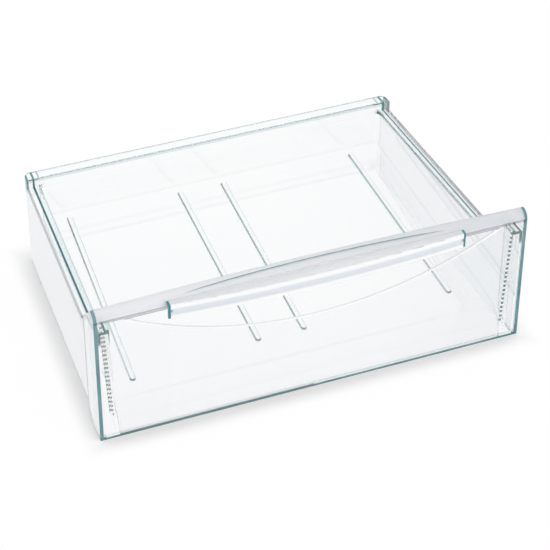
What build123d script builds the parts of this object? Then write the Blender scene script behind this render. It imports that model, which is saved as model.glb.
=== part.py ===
"""Clear pull-out freezer drawer: a front panel with a bowed handle, welded to a double-walled tub."""

import os
from math import cos, radians, sin, tan

from build123d import *

# Overall sizes
panel_width = 454.0
body_depth = 308.0  # panel face to the rear ends of the skirts
handle_reach = 14.0  # middle of the handle strip, ahead of the panel face

# Front panel: a flat plate, a quarter-round nose and a lip that is deepest in the middle
panel_wall = 2.6
nose_start = 147.0
nose_radius = 9.5
lip_end_depth = 10.5
lip_middle_depth = 15.5
panel_edge_round = 1.2

# Side returns behind the ends of the panel, with a sloping shoulder
return_wall = 3.6
return_clearance = 0.4  # to the skirt of the tub
return_depth = 36.0
return_shoulder = 132.0
return_shoulder_round = 10.0
return_corner = 20.0

# Half-moon grip opening
grip_end_margin = 33.0  # from the end of the panel
grip_bottom = 94.6
grip_drop = 2.5  # top of the opening below the start of the nose
grip_corner = 1.6
grip_edge_round = 0.8

# Handle: a bowed strip hanging from a lens-shaped top plate
handle_end_margin = 72.0  # from the end of the panel
handle_height = 17.0
handle_wall = 2.5
handle_sink = 1.5  # top plate below the top of the lip
handle_end_reach = 7.0
handle_root_end = 3.0  # back of the top plate behind the panel face, at its ends
handle_root_middle = 11.3

# Joint flanges behind the plate, with toothed rear edges; they stand beside the inner walls of the tub
flange_wall = 2.3
flange_depth = 13.5
flange_bottom = 10.0
flange_top = 130.0
flange_gap = 2.8  # to the inner wall
tooth_pitch = 5.5
tooth_width = 2.8
tooth_depth = 1.4
seam_clearance = 0.15

# Tub in plan: the walls draw in towards the rear
wall_taper = 2.83  # degrees on each side
wall_draft = 2.8  # degrees, of the inner walls
tub_wall = 2.3
rim_width = 14.0
ledge_width = 7.6  # outer part of the rim
ledge_drop = 2.0  # of that part below the inner part
rear_corner = 7.0

# Tub in side view: a level rim that sweeps up at the front, and a floor that climbs from a round front edge
rim_height = 103.0
rim_front_height = 135.5
rim_rear_height = 111.5  # of the raised rear rim
sweep_start = 80.0
sweep_end = 22.0
rim_wall = 2.3
rim_edge_round = 0.8
floor_front = 33.4  # where the slope would meet the panel
floor_slope = 5.8  # degrees
floor_bend = 30.0
floor_wall = 2.5
floor_round = 7.0

# Floor beads: place across at mid-length, and distance of the front end behind the panel face
bead_width = 6.5
bead_height = 1.8
bead_bevel = 1.2
bead_rear_margin = 12.0
left_bead_inset = 48.5  # from the outside of the tub
right_bead_inset = 60.5
left_bead_front = 34.0
bead_front = 45.0
inner_bead_places = (-43.5, 6.0)

# Places that follow from the sizes, with the origin under the middle of the drawer
depth = handle_reach + body_depth
face = handle_reach - depth / 2
plate_back = face + panel_wall
tub_front = plate_back + seam_clearance
tub_rear = face + body_depth
nose_top = nose_start + nose_radius
handle_top = nose_top - handle_sink
draw_in = tan(radians(wall_taper))
lean = tan(radians(wall_draft))
climb = tan(radians(floor_slope))
margin = 40.0  # how far a cutting body stands clear of what it cuts
tall = rim_front_height + margin
open_front = tub_front - margin
half_span = panel_width / 2
grip_half_width = half_span - grip_end_margin
handle_length = panel_width - 2 * handle_end_margin
tub_front_width = panel_width - 2 * (return_wall + return_clearance)
left_bead_place = left_bead_inset - tub_front_width / 2
right_bead_place = tub_front_width / 2 - right_bead_inset
inner_rear = tub_rear - rim_width
flange_height = flange_top - flange_bottom
flange_middle = (flange_bottom + flange_top) / 2
inner_wall_place = tub_front_width / 2 - rim_width + tub_wall - (rim_height - flange_middle) * lean
flange_place = inner_wall_place + flange_wall / 2 + flange_gap
tooth_count = int(flange_height / tooth_pitch) - 1

os.makedirs("parts", exist_ok=True)


def floor_height(y):
    """Height of the floor's top face at y."""
    return floor_front + (y - tub_front) * climb


def tub_plan(inset, front, rear, corner):
    """Tapered outline of the tub, set in by inset on its three walls."""
    half = tub_front_width / 2 - inset + (tub_front - front) * draw_in
    rear_half = half - (rear - front) * draw_in
    with BuildSketch() as plan:
        with BuildLine():
            Polyline((-half, front), (half, front), (rear_half, rear), (-rear_half, rear), close=True)
        make_face()
        fillet(plan.vertices().group_by(Axis.Y)[-1], corner)
    return plan.sketch


def rim_side(drop, front, rear, bottom):
    """Side view below the rim line, drop under its top, between two ends and above bottom."""
    low = rim_height - drop
    high = rim_front_height - drop
    middle = ((face + sweep_start + face + sweep_end) / 2, (low + high) / 2)
    with BuildSketch(Plane.YZ) as side:
        with BuildLine():
            level = Line((rear, low), (face + sweep_start, low))
            dip = TangentArc(level @ 1, middle, tangent=level % 1)
            crest = TangentArc(dip @ 1, (face + sweep_end, high), tangent=dip % 1)
            Polyline(crest @ 1, (front, high), (front, bottom), (rear, bottom), level @ 0)
        make_face()
    return side.sketch


def floor_side(drop):
    """Side view of what lies above the floor, taken drop under its top face."""
    rear = tub_rear + margin
    bend_y = tub_front + floor_bend
    slope_drop = drop / cos(radians(floor_slope))
    bend_z = floor_height(bend_y) - floor_bend / cos(radians(floor_slope))
    with BuildSketch(Plane.YZ) as side:
        with BuildLine():
            bend = CenterArc((bend_y, bend_z), floor_bend - drop, 90 + floor_slope, 90 - floor_slope)
            Line(bend @ 0, (rear, floor_height(rear) - slope_drop))
            Polyline(
                bend @ 1,
                (tub_front + drop, -margin),
                (open_front, -margin),
                (open_front, tall),
                (rear, tall),
                (rear, floor_height(rear) - slope_drop),
            )
        make_face()
    return side.sketch


def leaning_space(inset, rear, corner):
    """Tapered space with leaning walls, open at the front; inset and rear are taken at the rim."""
    with BuildPart() as space:
        for height in (-margin, tall):
            shift = (rim_height - height) * lean
            with BuildSketch(Plane.XY.offset(height)):
                add(tub_plan(inset + shift, open_front, rear - shift, corner))
        loft(ruled=True)
    return space.part


def rim_block(inset, drop):
    """Tapered block below the rim line, with its upper outer edge rounded."""
    with BuildPart() as block:
        extrude(tub_plan(inset, tub_front, tub_rear - inset, rear_corner), amount=tall)
        extrude(rim_side(drop, tub_front, tub_rear, 0), amount=half_span, both=True, mode=Mode.INTERSECT)
        rim_low = rim_height - ledge_drop - rim_wall
        high_edges = block.edges().filter_by(lambda edge: edge.center().Z > rim_low)
        side_edges = high_edges.filter_by(lambda edge: abs(edge.tangent_at(0.5).X) < cos(radians(45)))
        rear_edges = high_edges.filter_by(lambda edge: edge.center().Y > inner_rear)
        fillet([edge for edge in side_edges if edge not in rear_edges] + rear_edges, rim_edge_round)
    return block.part


# Handle: lens-shaped plan, hollowed from below and behind so that only the plate and the strip stay
with BuildPart() as handle:
    half = handle_length / 2
    strip_bottom = handle_top - handle_height
    with BuildSketch(Plane.XY.offset(strip_bottom)) as lens:
        with BuildLine():
            front_arc = ThreePointArc(
                (-half, face - handle_end_reach), (0, face - handle_reach), (half, face - handle_end_reach)
            )
            root_arc = ThreePointArc(
                (half, face + handle_root_end),
                (0, face + handle_root_middle),
                (-half, face + handle_root_end),
            )
            Line(front_arc @ 1, root_arc @ 0)
            Line(root_arc @ 1, front_arc @ 0)
        make_face()
    extrude(amount=handle_height)
    with BuildSketch(Plane.XY.offset(strip_bottom)) as hollow:
        with BuildLine():
            back_arc = ThreePointArc(
                (-half, face - handle_end_reach + handle_wall),
                (0, face - handle_reach + handle_wall),
                (half, face - handle_end_reach + handle_wall),
            )
            Polyline(back_arc @ 1, (half, face + margin), (-half, face + margin), back_arc @ 0)
        make_face()
    extrude(amount=handle_height - handle_wall, mode=Mode.SUBTRACT)
    strip_edges = handle.edges().filter_by(GeomType.CIRCLE).group_by(Axis.Y)[0]
    fillet(strip_edges, panel_edge_round)

# Front panel
with BuildPart() as front_panel:
    with BuildSketch(Plane.YZ) as plate_side:
        with BuildLine():
            outer_nose = CenterArc((face + nose_radius, nose_start), nose_radius, 180, -90)
            inner_nose = CenterArc((face + nose_radius, nose_start), nose_radius - panel_wall, 90, 90)
            Polyline(outer_nose @ 0, (face, 0), (plate_back, 0), inner_nose @ 1)
            lip_back = face + lip_middle_depth
            Polyline(outer_nose @ 1, (lip_back, nose_top), (lip_back, nose_top - panel_wall), inner_nose @ 0)
        make_face()
    extrude(amount=half_span, both=True)

    # Rear edge of the lip, bowed back in the middle
    with BuildSketch(Plane.XY.offset(nose_top - panel_wall)) as lip_cut:
        with BuildLine():
            bow = ThreePointArc(
                (-half_span, face + lip_end_depth),
                (0, face + lip_middle_depth),
                (half_span, face + lip_end_depth),
            )
            Polyline(bow @ 1, (half_span, face + margin), (-half_span, face + margin), bow @ 0)
        make_face()
    extrude(amount=panel_wall, mode=Mode.SUBTRACT)

    # Side returns, closed against the plate and the nose
    with BuildSketch(Plane.YZ.offset(half_span)) as return_side:
        with BuildLine():
            nose = CenterArc((face + nose_radius, nose_start), nose_radius, 180, -90)
            return_back = face + return_depth
            Polyline(nose @ 1, (return_back, return_shoulder), (return_back, 0), (face, 0), nose @ 0)
        make_face()
        fillet(return_side.vertices().group_by(Axis.X)[-1].sort_by(Axis.Y)[0], return_corner)
        fillet(return_side.vertices().group_by(Axis.X)[-1].sort_by(Axis.Y)[-1], return_shoulder_round)
    extrude(amount=-return_wall)
    mirror(about=Plane.YZ)
    end_edges = front_panel.edges().filter_by(
        lambda edge: abs(edge.center().X) > half_span - panel_edge_round / 2
        and edge.center().Y < face + lip_end_depth / 2
    )
    fillet(end_edges, panel_edge_round)

    # Half-moon grip opening under the nose, with rounded edges
    grip_top = nose_start - grip_drop
    with BuildSketch(Plane.XZ.offset(-face)) as grip:
        with BuildLine():
            sill = ThreePointArc((-grip_half_width, grip_top), (0, grip_bottom), (grip_half_width, grip_top))
            Line(sill @ 1, sill @ 0)
        make_face()
        fillet(grip.vertices(), grip_corner)
    extrude(amount=-panel_wall, mode=Mode.SUBTRACT)
    grip_edges = front_panel.edges().filter_by(
        lambda edge: abs(edge.center().X) < grip_half_width
        and edge.bounding_box().size.Y < grip_edge_round
        and grip_bottom < edge.center().Z < nose_start - grip_drop / 2
    )
    fillet(grip_edges, grip_edge_round)

    # Sunk top of the handle, then the handle itself
    with BuildSketch(Plane.XY.offset(handle_top)) as sunk_top:
        add(lens.sketch.faces()[0].moved(Location((0, 0, -strip_bottom))))
    extrude(amount=handle_sink, mode=Mode.SUBTRACT)
    add(handle.part)

    # Joint flanges with toothed rear edges, leaning like the inner walls of the tub
    for side in (-1, 1):
        with Locations(Location((side * flange_place, plate_back, flange_middle), (0, side * wall_draft, 0))):
            with Locations((0, flange_depth / 2, 0)):
                Box(flange_wall, flange_depth, flange_height)
            notches = [
                (0, flange_depth - tooth_depth / 2, step * tooth_pitch)
                for step in range(-tooth_count // 2, tooth_count // 2 + 1)
            ]
            with Locations(*notches):
                Box(flange_wall, tooth_depth, tooth_pitch - tooth_width, mode=Mode.SUBTRACT)
front_panel.part.label = "front_panel"
export_step(front_panel.part, "parts/front_panel.step")

# Space inside the tub, above the climbing floor and up through the rim
with BuildPart() as cavity:
    add(leaning_space(rim_width, inner_rear, rear_corner))
    extrude(floor_side(0), amount=half_span, both=True, mode=Mode.INTERSECT)
    floor_face = cavity.faces().filter_by(GeomType.PLANE).sort_by(lambda plane: plane.normal_at().Z)[0]
    fillet(floor_face.edges().sort_by(Axis.Y)[1:], floor_round)

# Outside of the inner tub, as seen from the space between the two walls
with BuildPart() as inner_tub:
    add(leaning_space(rim_width - tub_wall, inner_rear + tub_wall, rear_corner))
    extrude(floor_side(floor_wall), amount=half_span, both=True, mode=Mode.INTERSECT)

# Space between skirts and inner tub, open below and at both ends, and taller under the raised rear rim
with BuildPart() as core:
    open_rear = tub_rear + margin
    extrude(tub_plan(tub_wall, open_front, open_rear, rear_corner), amount=tall)
    below_rim = rim_side(ledge_drop + rim_wall, open_front, open_rear, 0)
    extrude(below_rim, amount=half_span, both=True, mode=Mode.INTERSECT)
    rear_plan = tub_plan(tub_wall, inner_rear + tub_wall, open_rear, rear_corner)
    extrude(rear_plan, amount=rim_rear_height - rim_wall)
    add(inner_tub.part, mode=Mode.SUBTRACT)

# Raised rear rim, rounded along its upper edge
with BuildPart() as rear_rim:
    extrude(tub_plan(0, inner_rear, tub_rear, rear_corner), amount=rim_rear_height)
    fillet(rear_rim.faces().sort_by(Axis.Z)[-1].edges().sort_by(Axis.Y)[1:], rim_edge_round)

# Drawer tub: the skirts with their ledges, the inner part of the rim and the rear rim, less the spaces
with BuildPart() as drawer_tub:
    add(rim_block(0, ledge_drop))
    add(rim_block(ledge_width, 0))
    add(rear_rim.part)
    add(cavity.part, mode=Mode.SUBTRACT)
    add(core.part, mode=Mode.SUBTRACT)

    # Floor beads with round ends and bevelled tops; the outer two follow the walls
    floor_plane = Plane(
        origin=(0, face, floor_height(face)),
        x_dir=(1, 0, 0),
        z_dir=(0, -sin(radians(floor_slope)), cos(radians(floor_slope))),
    )
    bead_rear = inner_rear - bead_rear_margin - face
    beads = [(place, bead_front, 0) for place in inner_bead_places]
    beads += [(left_bead_place, left_bead_front, -wall_taper), (right_bead_place, bead_front, wall_taper)]
    with BuildSketch(floor_plane) as bead_plan:
        for place, start, turn in beads:
            middle = (start + bead_rear) / 2 / cos(radians(floor_slope))
            length = (bead_rear - start) / cos(radians(floor_slope))
            with Locations((place, middle)):
                SlotOverall(length, bead_width, rotation=90 + turn)
    extrude(amount=bead_height)
    bead_tops = drawer_tub.faces(Select.LAST).filter_by(
        lambda top: abs(floor_plane.to_local_coords(top.center()).Z - bead_height) < bead_height / 4
    )
    chamfer(bead_tops.edges(), bead_bevel)
drawer_tub.part.label = "drawer_tub"
export_step(drawer_tub.part, "parts/drawer_tub.step")
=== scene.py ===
"""Studio picture of a clear plastic freezer drawer on a white table."""

import math

import bpy
from mathutils import Matrix, Vector


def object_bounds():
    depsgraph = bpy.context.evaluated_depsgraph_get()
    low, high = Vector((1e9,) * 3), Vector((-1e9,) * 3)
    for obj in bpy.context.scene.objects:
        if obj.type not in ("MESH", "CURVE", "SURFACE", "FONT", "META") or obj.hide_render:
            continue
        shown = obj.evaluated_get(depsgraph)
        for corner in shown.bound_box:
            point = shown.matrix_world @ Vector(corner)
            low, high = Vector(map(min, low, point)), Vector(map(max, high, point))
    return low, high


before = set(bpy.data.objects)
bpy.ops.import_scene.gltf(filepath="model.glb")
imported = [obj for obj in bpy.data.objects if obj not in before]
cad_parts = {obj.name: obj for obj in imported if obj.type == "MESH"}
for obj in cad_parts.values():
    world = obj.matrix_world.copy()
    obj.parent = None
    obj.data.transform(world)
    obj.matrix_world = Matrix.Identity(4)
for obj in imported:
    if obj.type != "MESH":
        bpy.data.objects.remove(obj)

CAD_LOW, CAD_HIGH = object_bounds()

# Camera: angles in degrees, places in metres, lens and sensor in millimetres
CAMERA_AZIMUTH = -21.75
CAMERA_ELEVATION = 38.27
CAMERA_ROLL = 0.30
CAMERA_DISTANCE = 2.2346
CAMERA_AIM = Vector((0.0155, 0.003, 0.0274))
CAMERA_LENS = 138.56
SENSOR_WIDTH = 36.0
CAMERA_REACH = 50.0

# Clear polystyrene: refraction, the teal of its thickness, its flow marks and its roughness
PLASTIC_IOR = 1.58
TEAL_ABSORPTION = (0.10, 0.50, 0.52, 1.0)
TEAL_DENSITY = 4.0
FLOW_SCALE = 9.0
STREAK_SCALE = 26.0
NOISE_DETAIL = 4.0
POLISH_SMOOTH, POLISH_WORN = 0.0, 0.05
POLISH_SATIN = 0.28

# Shares of light that pass through each kind of surface
CLEAR_PASS = 0.98
EDGE_PASS = 0.2
LIP_PASS = 0.5
STRIP_PASS = 0.85
BORDER_PASS = 0.25
SOFT_PASS = 0.6
SILL_PASS = 0.1
CUT_PASS = 0.0
STRIP_SILVER = 0.7  # share of the strip's front that throws light back
SUNK_ALPHA = 0.02  # of faces that are sunk in the weld

# Colours
CLEAR_TINT = (0.985, 0.992, 1.0, 1.0)
CLEAR_TINT_WARM = (0.998, 0.998, 1.0, 1.0)
# Painted shade: the right side of both mouldings is darker
SHADED_TINT = (0.972, 0.977, 0.982, 1.0)
# Painted shade on the tub's outer walls, the left wall darker than the right
SKIRT_SHADE_LEFT = (0.83, 0.85, 0.88, 1.0)
SKIRT_SHADE_RIGHT = (0.95, 0.957, 0.972, 1.0)
EDGE_TEAL = (0.015, 0.24, 0.265, 1.0)
SOFT_TEAL = (0.50, 0.68, 0.70, 1.0)
RAIL_MAUVE = (0.92, 0.925, 0.95, 1.0)
# Painted highlight on the sill of the grip opening
SILL_HIGHLIGHT = (0.97, 0.975, 0.985, 1.0)
LIP_LIGHT = (0.97, 0.98, 1.0, 1.0)
# Painted shade on the lip toward the right
LIP_SHADE = (0.88, 0.895, 0.925, 1.0)
# Painted shade in the crease under the lip
CREASE_SHADE = (0.36, 0.385, 0.43, 1.0)
STRIP_BLUE = (0.91, 0.95, 1.0, 1.0)
# Painted highlights: the borders of the handle strip and the cut rail ends at the panel
HIGHLIGHT_WHITE = (1.0, 1.0, 1.0, 1.0)

# Soft changes: of places in metres, and of facing, where 1 is square to an axis
EDGE_SOFT = 0.0003
FACING_SOFT = 0.1

# Sizes of the two mouldings, in metres and degrees
HANDLE_BOW = 0.014
PLATE_THICKNESS = 0.0026
SEAM_GAP = 0.00015
TUB_SETBACK = 0.004
DRAW_ANGLE = 2.83
LIP_RADIUS = 0.0095
LENS_SINK = 0.0015
HANDLE_SETBACK = 0.072
STRIP_HEIGHT = 0.017
GRIP_SETBACK = 0.033
GRIP_DROP = 0.0025

# Main places on the two mouldings, in metres
MIDDLE = 0.0
SHADED_FROM, SHADED_SOFT = 0.13, 0.10
HALF_SPAN = CAD_HIGH[0]
PANEL_FACE = CAD_LOW[1] + HANDLE_BOW
PLATE_BACK = PANEL_FACE + PLATE_THICKNESS
TUB_FRONT = PLATE_BACK + SEAM_GAP
TUB_REAR = CAD_HIGH[1]
TUB_HALF = HALF_SPAN - TUB_SETBACK
WALL_DRAW_IN = math.tan(math.radians(DRAW_ANGLE))
LIP_TOP = CAD_HIGH[2]
NOSE_START = LIP_TOP - LIP_RADIUS
LENS_TOP = LIP_TOP - LENS_SINK

# Panel: the dark ends and foot
END_BAND = 0.0034
END_FACING, END_FACING_SOFT = 0.9, 0.05
FOOT_BAND = 0.0014
FOOT_LINE_LOW, FOOT_LINE_HIGH = 0.0040, 0.0050
FOOT_LINE_SHARE = 0.3
STREAK_LEAST, STREAK_MOST = 0.6, 1.2

# Panel: the lip and its crease
LIP_MARGIN = 0.001
# Where the lip's painted shade begins
LIP_SHADE_FROM, LIP_SHADE_SOFT = 0.05, 0.2
CREASE_LOW, CREASE_HIGH = NOSE_START - 0.0012, NOSE_START + 0.0020
CREASE_SOFT = 0.0006
CREASE_DEPTH = 0.0010

# Panel: the handle strip and the lens over it
HANDLE_HALF = HALF_SPAN - HANDLE_SETBACK
HANDLE_END_BAND = 0.0022
HANDLE_END_PROUD = 0.0003
CREASE_FROM, CREASE_FROM_SOFT = HANDLE_HALF - 0.004, 0.002
STRIP_PROUD = 0.0005
STRIP_LOW = LENS_TOP - STRIP_HEIGHT
STRIP_BORDER, STRIP_BORDER_SOFT = 0.0042, 0.0015
STRIP_CREST, STRIP_CREST_SOFT = 0.0052, 0.001
CROWN_FACING, CROWN_SOFT = 0.88, 0.06
LENS_STEP_MARGIN = 0.0001
LENS_STEP_FACING = 0.5
LENS_STEP_SHARE = 0.7

# Panel: the joint flanges and their teeth
FLANGE_NEAR, FLANGE_FAR = HALF_SPAN - 0.0185, HALF_SPAN - 0.0080
FLANGE_TOP = 0.134
FLANGE_FRONT, FLANGE_FRONT_SOFT = PLATE_BACK + 0.0004, 0.0002
TOOTH_START = PLATE_BACK + 0.0098
TOOTH_PITCH = 0.0055
TOOTH_SHARE, TOOTH_SOFT = 0.55, 0.06
TOOTH_LOW = 0.020

# Panel: the sill of the grip opening, an arc
GRIP_HALF = HALF_SPAN - GRIP_SETBACK
GRIP_TOP = NOSE_START - GRIP_DROP
GRIP_BOTTOM = 0.0946
GRIP_RISE = GRIP_TOP - GRIP_BOTTOM
SILL_RADIUS = (GRIP_HALF ** 2 + GRIP_RISE ** 2) / (2 * GRIP_RISE)
SILL_CENTRE = GRIP_BOTTOM + SILL_RADIUS
SILL_HALF = 0.0018

# Tub: the rails, with distances measured inward from the outside of the skirt
RAIL_LOW, RAIL_HIGH = 0.095, 0.1065
RAIL_FROM, RAIL_FROM_SOFT = 0.068, 0.004
RAIL_EDGE = 0.0026
RAIL_REACH = 0.018
STEP_NEAR, STEP_FAR = 0.0068, 0.0084
INNER_EDGE_NEAR, INNER_EDGE_FAR = 0.0128, 0.0146
INNER_EDGE_FACING = 0.25
SKIRT_WALL = 0.0027
STANDING_BAND = 0.0014
STANDING_SHARE = 0.55

# Tub: the cut ends of the rails, at the panel and at the rear
CUT_DEPTH = 0.0012
HOOK_LOW, HOOK_SOFT = 0.120, 0.004
HOOK_REACH = 0.0112
REAR_END_DEPTH = 0.0008
REAR_END_FACING = 0.5
REAR_END_REACH = 0.0145
SKIRT_REAR_DEPTH = 0.0016
SKIRT_REAR_REACH = SKIRT_WALL + 0.0005
SKIRT_REAR_SHARE = 0.8

# Tub: the rear rim
REAR_RIM = 0.0145
REAR_RIM_LOW = 0.1075
REAR_CORNER_EDGE = 0.0018
REAR_CORNER_NEAR, REAR_CORNER_FAR = 0.007, 0.0088
REAR_CORNER_SHARE = 0.8
REAR_LINE_DEPTH = 0.0014
REAR_LINE_FRONT, REAR_LINE_BACK = TUB_REAR - 0.0150, TUB_REAR - 0.0132
REAR_LINE_SHARE = 0.6

# Tub: the floor beads
FLOOR_INSET = 0.034
BEAD_FRONT, BEAD_REAR = PANEL_FACE + 0.0337, TUB_REAR - 0.0255
BEAD_SIDE_FACING = 0.35
BEAD_SIDE_SHARE = 0.9
BEAD_END_FACING = 0.45
BEAD_UPWARD, BEAD_UPWARD_SOFT = -0.1, 0.05

# Table: the shares of it that show plain white to the camera, and through the plastic
TABLE_SIZE = 12.0
TABLE_COLOUR = (0.97, 0.97, 0.97, 1.0)
TABLE_DROP = 0.0003
TABLE_GLOW = 1.0
TABLE_PLAIN_BESIDE = 0.28
TABLE_PLAIN_AHEAD = 0.0
TABLE_PLAIN_FAR = 0.97
TABLE_PLAIN_THROUGH = 0.95
SHADOW_REACH = 0.026
AHEAD_FROM, AHEAD_SOFT = 0.002, 0.004

# Sky and lamp
SKY_HORIZON, SKY_ZENITH = 0.8, 1.0
SKY_LOW, SKY_HIGH = 0.0, 0.7
LAMP_PLACE = Vector((1.1, -1.7, 2.0))
LAMP_AIM = Vector((0.0, 0.0, 0.05))
LAMP_SIZE = 1.6
LAMP_WATTS = 12.0

# Bounces that light needs to find its way through several clear walls
LIGHT_BOUNCES = 48
GLOSSY_BOUNCES = 12
SUNK_BOUNCES = 32


class Weave:
    """Node material under construction; values are sockets, numbers or colours."""

    def __init__(self, name):
        self.material = bpy.data.materials.new(name)
        self.material.use_nodes = True
        self.nodes = self.material.node_tree.nodes
        self.links = self.material.node_tree.links
        self.nodes.clear()
        self.output = self.nodes.new("ShaderNodeOutputMaterial")
        self.place = self.nodes.new("ShaderNodeTexCoord")

    def put(self, value, socket):
        """Links a socket, or sets a plain value."""
        if isinstance(value, bpy.types.NodeSocket):
            self.links.new(value, socket)
        else:
            socket.default_value = value

    def parts(self, name):
        """The three parts of a coordinate."""
        node = self.nodes.new("ShaderNodeSeparateXYZ")
        self.links.new(self.place.outputs[name], node.inputs["Vector"])
        return node.outputs["X"], node.outputs["Y"], node.outputs["Z"]

    def math(self, operation, *values):
        """One math node."""
        node = self.nodes.new("ShaderNodeMath")
        node.operation = operation
        for value, socket in zip(values, node.inputs):
            self.put(value, socket)
        return node.outputs["Value"]

    def minus(self, first, second):
        """Difference of two values."""
        return self.math("SUBTRACT", first, second)

    def times(self, first, second):
        """Product of two values."""
        return self.math("MULTIPLY", first, second)

    def size(self, value):
        """Value without its sign."""
        return self.math("ABSOLUTE", value)

    def above(self, value, edge, soft=EDGE_SOFT):
        """1 where the value is over the edge, with a soft change."""
        node = self.nodes.new("ShaderNodeMapRange")
        node.interpolation_type = "SMOOTHSTEP"
        node.inputs["From Min"].default_value = edge - soft
        node.inputs["From Max"].default_value = edge + soft
        self.put(value, node.inputs["Value"])
        return node.outputs["Result"]

    def no(self, mask):
        """1 where the mask is 0."""
        return self.minus(1.0, mask)

    def below(self, value, edge, soft=EDGE_SOFT):
        """1 where the value is under the edge."""
        return self.no(self.above(value, edge, soft))

    def band(self, value, low, high, soft=EDGE_SOFT):
        """1 between two edges."""
        return self.every(self.above(value, low, soft), self.below(value, high, soft))

    def facing(self, value, edge):
        """1 where a surface faces an axis, either way, more than the edge."""
        return self.above(self.size(value), edge, FACING_SOFT)

    def every(self, *masks):
        """Product of masks."""
        result = masks[0]
        for mask in masks[1:]:
            result = self.times(result, mask)
        return result

    def any(self, *masks):
        """Largest of masks."""
        result = masks[0]
        for mask in masks[1:]:
            result = self.math("MAXIMUM", result, mask)
        return result

    def mix(self, kind, factor, first, second):
        """Blend of two values of one kind."""
        node = self.nodes.new("ShaderNodeMix")
        node.data_type = kind
        self.put(factor, node.inputs["Factor"])
        self.put(first, node.inputs["A"])
        self.put(second, node.inputs["B"])
        return node.outputs["Result"]

    def colour(self, factor, first, second):
        """Blend of two colours."""
        return self.mix("RGBA", factor, first, second)

    def blend(self, factor, first, second):
        """Blend of two numbers."""
        return self.mix("FLOAT", factor, first, second)

    def noise(self, scale):
        """Soft noise between 0 and 1."""
        node = self.nodes.new("ShaderNodeTexNoise")
        node.inputs["Scale"].default_value = scale
        node.inputs["Detail"].default_value = NOISE_DETAIL
        self.links.new(self.place.outputs["Object"], node.inputs["Vector"])
        return node.outputs["Fac"]

    def dashes(self, value):
        """1 on each tooth of the seam."""
        place = self.math("FRACT", self.math("DIVIDE", value, TOOTH_PITCH))
        return self.every(self.below(place, TOOTH_SHARE, TOOTH_SOFT), self.above(value, TOOTH_LOW))

    def inset(self, x, y):
        """Distance inward from the outside of the tub's side walls, which draw in toward the rear."""
        half_width = self.minus(TUB_HALF, self.times(self.minus(y, TUB_FRONT), WALL_DRAW_IN))
        return self.minus(half_width, self.size(x))

    def clear_tint_and_shade(self, x, flow):
        """Tint of the clear plastic, with painted shade making it a little darker toward the right."""
        tint = self.colour(flow, CLEAR_TINT, CLEAR_TINT_WARM)
        return self.colour(self.above(x, SHADED_FROM, SHADED_SOFT), tint, SHADED_TINT)

    def plastic(self, colour, roughness, clearness, silver, alpha):
        """Clear plastic with this colour, roughness, and shares of light that pass and are thrown back."""
        shader = self.nodes.new("ShaderNodeBsdfPrincipled")
        shader.inputs["IOR"].default_value = PLASTIC_IOR
        self.put(colour, shader.inputs["Base Color"])
        self.put(roughness, shader.inputs["Roughness"])
        self.put(clearness, shader.inputs["Transmission Weight"])
        self.put(silver, shader.inputs["Metallic"])
        self.put(alpha, shader.inputs["Alpha"])
        self.links.new(shader.outputs["BSDF"], self.output.inputs["Surface"])
        body = self.nodes.new("ShaderNodeVolumeAbsorption")
        body.inputs["Color"].default_value = TEAL_ABSORPTION
        body.inputs["Density"].default_value = TEAL_DENSITY
        self.links.new(body.outputs["Volume"], self.output.inputs["Volume"])
        return self.material


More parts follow.
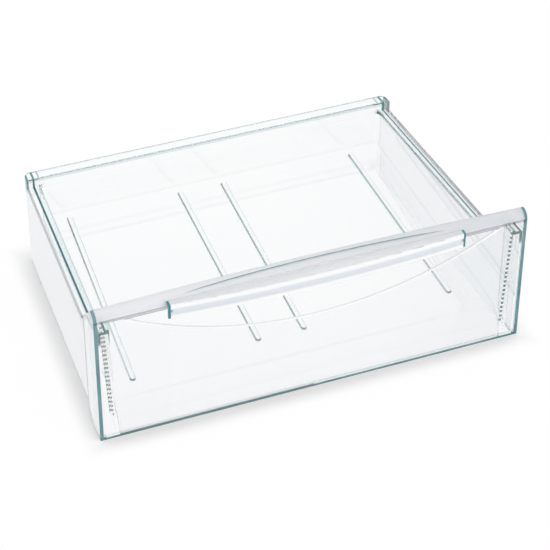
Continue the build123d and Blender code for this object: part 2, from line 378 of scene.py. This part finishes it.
def panel_plastic():
    """Clear plastic of the front panel: teal ends and foot, a greyish lip with painted shade toward the right
    and in its crease, a painted highlight on the sill, and a pale handle strip with painted highlights on its
    borders.
    """
    weave = Weave("clear_panel_plastic")
    x, y, z = weave.parts("Object")
    turn_x, _, turn_z = weave.parts("Normal")
    across = weave.size(x)
    upright = weave.size(turn_z)
    flow = weave.noise(FLOW_SCALE)

    # Dark edges: the ends, the foot, the ends of the handle strip, the step round the lens and the left teeth
    streaks = weave.blend(weave.noise(STREAK_SCALE), STREAK_LEAST, STREAK_MOST)
    at_end = weave.above(across, HALF_SPAN - END_BAND)
    ends = weave.every(at_end, weave.below(weave.size(turn_x), END_FACING, END_FACING_SOFT), streaks)
    foot_line = weave.every(weave.band(z, FOOT_LINE_LOW, FOOT_LINE_HIGH), FOOT_LINE_SHARE)
    foot = weave.every(weave.any(weave.below(z, FOOT_BAND), foot_line), weave.no(at_end), streaks)
    handle_ends = weave.every(
        weave.below(y, PANEL_FACE - HANDLE_END_PROUD), weave.above(across, HANDLE_HALF - HANDLE_END_BAND)
    )
    lens_step = weave.every(
        weave.band(z, LENS_TOP + LENS_STEP_MARGIN, LIP_TOP - LENS_STEP_MARGIN, LENS_STEP_MARGIN),
        weave.below(upright, LENS_STEP_FACING, FACING_SOFT),
        weave.below(across, HANDLE_HALF),
        LENS_STEP_SHARE,
    )
    flange = weave.every(
        weave.above(y, FLANGE_FRONT, FLANGE_FRONT_SOFT),
        weave.band(across, FLANGE_NEAR, FLANGE_FAR),
        weave.below(z, FLANGE_TOP),
    )
    teeth = weave.every(flange, weave.above(y, TOOTH_START), weave.dashes(z), weave.below(x, MIDDLE))
    edges = weave.any(ends, foot, handle_ends, lens_step, teeth)

    # Painted highlight: a white line along the sill under the grip opening
    climb = weave.minus(z, SILL_CENTRE)
    radius = weave.math("SQRT", weave.math("ADD", weave.times(x, x), weave.times(climb, climb)))
    off_sill = weave.size(weave.minus(radius, SILL_RADIUS))
    sill_highlight = weave.every(weave.below(off_sill, SILL_HALF), weave.below(z, GRIP_TOP))

    # Satin parts: the lip, with painted shade toward the right, its crease in painted shade, and the handle
    # strip with its crown and two borders that carry painted highlights, white and mirror-like
    strip = weave.below(y, PANEL_FACE - STRIP_PROUD)
    lip = weave.every(weave.above(z, NOSE_START + LIP_MARGIN, LIP_MARGIN), weave.no(strip))
    # Painted shade in the crease under the lip, beside the handle
    crease_shade = weave.every(
        weave.band(z, CREASE_LOW, CREASE_HIGH, CREASE_SOFT),
        weave.below(y, PANEL_FACE + CREASE_DEPTH),
        weave.above(across, CREASE_FROM, CREASE_FROM_SOFT),
    )
    crown = weave.every(strip, weave.above(upright, CROWN_FACING, CROWN_SOFT))
    # Painted highlight on the two borders of the handle strip, white and mirror-like
    border_highlight = weave.every(
        weave.any(
            weave.below(z, STRIP_LOW + STRIP_BORDER, STRIP_BORDER_SOFT),
            weave.above(z, LENS_TOP - STRIP_CREST, STRIP_CREST_SOFT),
        ),
        weave.no(crown),
    )

    # The lip's own pale satin, with painted shade toward the right
    lip_tint_and_shade = weave.colour(weave.above(x, LIP_SHADE_FROM, LIP_SHADE_SOFT), LIP_LIGHT, LIP_SHADE)
    tint = weave.colour(lip, weave.clear_tint_and_shade(x, flow), lip_tint_and_shade)
    tint = weave.colour(strip, tint, weave.colour(border_highlight, STRIP_BLUE, HIGHLIGHT_WHITE))
    tint = weave.colour(crown, tint, LIP_LIGHT)
    tint = weave.colour(crease_shade, tint, CREASE_SHADE)
    tint = weave.colour(sill_highlight, tint, SILL_HIGHLIGHT)
    tint = weave.colour(edges, tint, EDGE_TEAL)
    clearness = weave.blend(lip, CLEAR_PASS, LIP_PASS)
    clearness = weave.blend(strip, clearness, weave.blend(border_highlight, STRIP_PASS, BORDER_PASS))
    clearness = weave.blend(crown, clearness, LIP_PASS)
    clearness = weave.blend(sill_highlight, clearness, SILL_PASS)
    clearness = weave.blend(edges, clearness, EDGE_PASS)
    polish = weave.blend(flow, POLISH_SMOOTH, POLISH_WORN)
    polish = weave.blend(weave.any(lip, strip), polish, POLISH_SATIN)
    silver = weave.every(
        strip, weave.no(crown), weave.no(edges), weave.blend(border_highlight, STRIP_SILVER, 1.0)
    )
    sunk = weave.every(flange, weave.no(teeth))
    return weave.plastic(tint, polish, clearness, silver, weave.blend(sunk, 1.0, SUNK_ALPHA))


def tub_plastic():
    """Clear plastic of the tub: teal along the rail steps, the cut rail ends and the standing edge, painted
    shade on the outer walls, and a painted highlight on the cut rail ends at the panel.
    """
    weave = Weave("clear_tub_plastic")
    x, y, z = weave.parts("Object")
    turn_x, turn_y, turn_z = weave.parts("Normal")
    inset = weave.inset(x, y)
    flow = weave.noise(FLOW_SCALE)

    # Dark edges: rail steps, cut rail ends, the right seam, the left standing edge and the rear corners
    on_rail = weave.above(z, RAIL_LOW)
    step = weave.every(weave.band(inset, STEP_NEAR, STEP_FAR), on_rail)
    rear_ends = weave.every(
        weave.above(y, TUB_REAR - REAR_END_DEPTH),
        weave.facing(turn_y, REAR_END_FACING),
        weave.below(inset, REAR_END_REACH),
    )
    front_cut = weave.every(weave.below(y, TUB_FRONT + CUT_DEPTH), weave.below(inset, RAIL_REACH))
    hook = weave.every(front_cut, weave.above(z, HOOK_LOW, HOOK_SOFT), weave.below(inset, HOOK_REACH))
    seam = weave.every(front_cut, weave.above(inset, HOOK_REACH), weave.above(x, MIDDLE), weave.dashes(z))
    standing = weave.every(weave.below(z, STANDING_BAND), weave.below(x, MIDDLE), STANDING_SHARE)
    skirt_rear = weave.every(
        weave.above(y, TUB_REAR - SKIRT_REAR_DEPTH), weave.below(inset, SKIRT_REAR_REACH), SKIRT_REAR_SHARE
    )
    rear_corner = weave.every(
        weave.above(y, TUB_REAR - REAR_RIM),
        on_rail,
        weave.any(
            weave.below(inset, REAR_CORNER_EDGE), weave.band(inset, REAR_CORNER_NEAR, REAR_CORNER_FAR)
        ),
        REAR_CORNER_SHARE,
    )
    edges = weave.any(step, rear_ends, hook, seam, standing, skirt_rear, rear_corner)

    # Fainter edges: the outer and inner edges of the rails, the floor beads and the rear rim
    rail_top = weave.every(
        weave.below(inset, RAIL_EDGE),
        weave.band(z, RAIL_LOW, RAIL_HIGH),
        weave.above(weave.minus(y, TUB_FRONT), RAIL_FROM, RAIL_FROM_SOFT),
    )
    inner_edge = weave.every(
        weave.band(inset, INNER_EDGE_NEAR, INNER_EDGE_FAR), on_rail, weave.facing(turn_z, INNER_EDGE_FACING)
    )
    on_floor = weave.every(weave.above(inset, FLOOR_INSET), weave.band(y, BEAD_FRONT, BEAD_REAR))
    bead_sides = weave.every(on_floor, weave.facing(turn_x, BEAD_SIDE_FACING), BEAD_SIDE_SHARE)
    bead_ends = weave.every(
        on_floor,
        weave.facing(turn_y, BEAD_END_FACING),
        weave.above(turn_z, BEAD_UPWARD, BEAD_UPWARD_SOFT),
    )
    rear_lines = weave.every(
        weave.above(z, REAR_RIM_LOW),
        weave.any(
            weave.above(y, TUB_REAR - REAR_LINE_DEPTH), weave.band(y, REAR_LINE_FRONT, REAR_LINE_BACK)
        ),
        REAR_LINE_SHARE,
    )
    soft = weave.any(inner_edge, bead_sides, bead_ends, rear_lines)

    # Painted shade: the outer walls of the skirt are greyer, the left one more
    skirt_shade = weave.colour(weave.above(x, MIDDLE), SKIRT_SHADE_LEFT, SKIRT_SHADE_RIGHT)
    tint = weave.colour(weave.below(inset, SKIRT_WALL), weave.clear_tint_and_shade(x, flow), skirt_shade)
    tint = weave.colour(rail_top, tint, RAIL_MAUVE)
    # Painted highlight: the cut rail ends at the panel are white and mirror-like
    tint = weave.colour(front_cut, tint, HIGHLIGHT_WHITE)
    tint = weave.colour(soft, tint, SOFT_TEAL)
    tint = weave.colour(edges, tint, EDGE_TEAL)
    clearness = weave.blend(weave.any(soft, rail_top), CLEAR_PASS, SOFT_PASS)
    clearness = weave.blend(front_cut, clearness, CUT_PASS)
    clearness = weave.blend(edges, clearness, EDGE_PASS)
    polish = weave.blend(flow, POLISH_SMOOTH, POLISH_WORN)
    # Mirror-like cut rail ends at the panel, part of their painted highlight
    silver = weave.every(front_cut, weave.no(edges))
    return weave.plastic(tint, polish, clearness, silver, 1.0)


def finish_moulding(node, material):
    """Gives a CAD node its plastic."""
    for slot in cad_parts[node].material_slots:
        slot.material = material


def white_table():
    """Table under the drawer, which keeps the drawer's soft shadow close by."""
    bpy.ops.object.select_all(action="DESELECT")
    bpy.ops.mesh.primitive_plane_add(size=TABLE_SIZE, location=(0, 0, -TABLE_DROP))
    table = bpy.context.object
    table.name = "table"
    bpy.ops.object.transform_apply(location=True, rotation=True, scale=True)
    weave = Weave("white_table")
    lit = weave.nodes.new("ShaderNodeBsdfDiffuse")
    lit.inputs["Color"].default_value = TABLE_COLOUR
    glow = weave.nodes.new("ShaderNodeEmission")
    glow.inputs["Strength"].default_value = TABLE_GLOW
    ray = weave.nodes.new("ShaderNodeLightPath")
    x, y, _ = weave.parts("Object")
    beside = weave.minus(0.0, weave.inset(x, y))
    ahead = weave.minus(PANEL_FACE, y)
    behind = weave.minus(y, TUB_REAR)
    # Close by the drawer the table shows its real lit shading and shadow; farther off it is plain white, so
    # the shadow's fading with distance is painted
    far = weave.above(weave.any(beside, ahead, behind), SHADOW_REACH / 2, SHADOW_REACH / 2)
    in_front = weave.above(ahead, AHEAD_FROM, AHEAD_SOFT)
    near = weave.blend(in_front, TABLE_PLAIN_BESIDE, TABLE_PLAIN_AHEAD)
    plain = weave.blend(far, near, TABLE_PLAIN_FAR)
    through = weave.any(ray.outputs["Is Transmission Ray"], ray.outputs["Is Glossy Ray"])
    share = weave.any(
        weave.every(ray.outputs["Is Camera Ray"], plain), weave.every(through, TABLE_PLAIN_THROUGH)
    )
    mix = weave.nodes.new("ShaderNodeMixShader")
    weave.put(share, mix.inputs["Fac"])
    weave.links.new(lit.outputs["BSDF"], mix.inputs[1])
    weave.links.new(glow.outputs["Emission"], mix.inputs[2])
    weave.links.new(mix.outputs["Shader"], weave.output.inputs["Surface"])
    table.data.materials.append(weave.material)


def studio_sky():
    """White sky that is a little darker at the horizon."""
    world = bpy.data.worlds.new("studio_sky")
    bpy.context.scene.world = world
    world.use_nodes = True
    nodes, links = world.node_tree.nodes, world.node_tree.links
    nodes.clear()
    output = nodes.new("ShaderNodeOutputWorld")
    sky = nodes.new("ShaderNodeBackground")
    place = nodes.new("ShaderNodeTexCoord")
    height = nodes.new("ShaderNodeSeparateXYZ")
    links.new(place.outputs["Generated"], height.inputs["Vector"])
    grade = nodes.new("ShaderNodeMapRange")
    grade.inputs["From Min"].default_value = SKY_LOW
    grade.inputs["From Max"].default_value = SKY_HIGH
    grade.inputs["To Min"].default_value = SKY_HORIZON
    grade.inputs["To Max"].default_value = SKY_ZENITH
    links.new(height.outputs["Z"], grade.inputs["Value"])
    links.new(grade.outputs["Result"], sky.inputs["Color"])
    links.new(sky.outputs["Background"], output.inputs["Surface"])


def window_lamp():
    """Square area lamp aimed at the drawer, kept out of the plastic's reflections."""
    data = bpy.data.lights.new("window_lamp", "AREA")
    data.size = LAMP_SIZE
    data.energy = LAMP_WATTS
    lamp = bpy.data.objects.new("window_lamp", data)
    lamp.location = LAMP_PLACE
    lamp.rotation_euler = (LAMP_AIM - LAMP_PLACE).to_track_quat("-Z", "Y").to_euler()
    lamp.visible_glossy = False
    lamp.visible_transmission = False
    bpy.context.scene.collection.objects.link(lamp)


def photo_camera():
    """Camera at the photograph's viewing angle."""
    data = bpy.data.cameras.new("camera")
    data.lens = CAMERA_LENS
    data.sensor_width = SENSOR_WIDTH
    data.clip_end = CAMERA_REACH
    camera = bpy.data.objects.new("camera", data)
    azimuth, elevation = math.radians(CAMERA_AZIMUTH), math.radians(CAMERA_ELEVATION)
    back = Vector((
        math.sin(azimuth) * math.cos(elevation),
        -math.cos(azimuth) * math.cos(elevation),
        math.sin(elevation),
    ))
    roll = Matrix.Rotation(math.radians(CAMERA_ROLL), 3, "Z")
    camera.rotation_euler = ((-back).to_track_quat("-Z", "Y").to_matrix() @ roll).to_euler()
    camera.location = CAMERA_AIM + back * CAMERA_DISTANCE
    bpy.context.scene.collection.objects.link(camera)
    bpy.context.scene.camera = camera


finish_moulding("front_panel", panel_plastic())
finish_moulding("drawer_tub", tub_plastic())
white_table()
studio_sky()
window_lamp()
photo_camera()
bpy.context.scene.view_settings.view_transform = "Standard"
bpy.context.scene.cycles.max_bounces = LIGHT_BOUNCES
bpy.context.scene.cycles.transmission_bounces = LIGHT_BOUNCES
bpy.context.scene.cycles.glossy_bounces = GLOSSY_BOUNCES
bpy.context.scene.cycles.transparent_max_bounces = SUNK_BOUNCES
